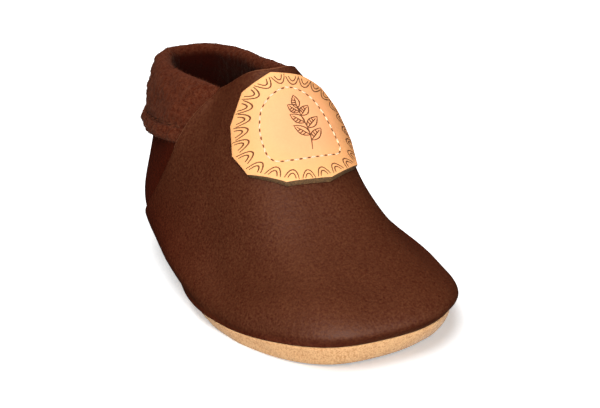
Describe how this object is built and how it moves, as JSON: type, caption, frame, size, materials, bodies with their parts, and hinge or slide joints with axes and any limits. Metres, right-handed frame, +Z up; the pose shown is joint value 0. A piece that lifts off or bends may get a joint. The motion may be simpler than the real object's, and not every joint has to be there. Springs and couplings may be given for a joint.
{
  "type": "soft-sole baby shoe",
  "caption": "Low soft baby shoe for the right foot: leather vamp lapped over a heel quarter, fold-down fleece cuff, suede sole and a stiff patch on the instep.",
  "frame": {"origin": "middle of the bounding box at the floor, under the sole", "axes": "+Z up, -Y to the toe, +Y to the heel, +X to the big toe's side"},
  "size_m": [0.0728, 0.1328, 0.0619],
  "materials": {
    "suede_sole": "napped tan suede",
    "felt_insole": "dark brown felt",
    "upper_leather": "soft dark brown, fine grain, satin",
    "cuff_fleece": "short brown fleece",
    "patch_leather": "smooth natural tan with dark cut edge"
  },
  "bodies": {
    "root": {"outsole": "suede_sole", "insole": "felt_insole", "upper": "upper_leather", "cuff": "cuff_fleece", "patch": "patch_leather"}
  },
  "joints": []
}
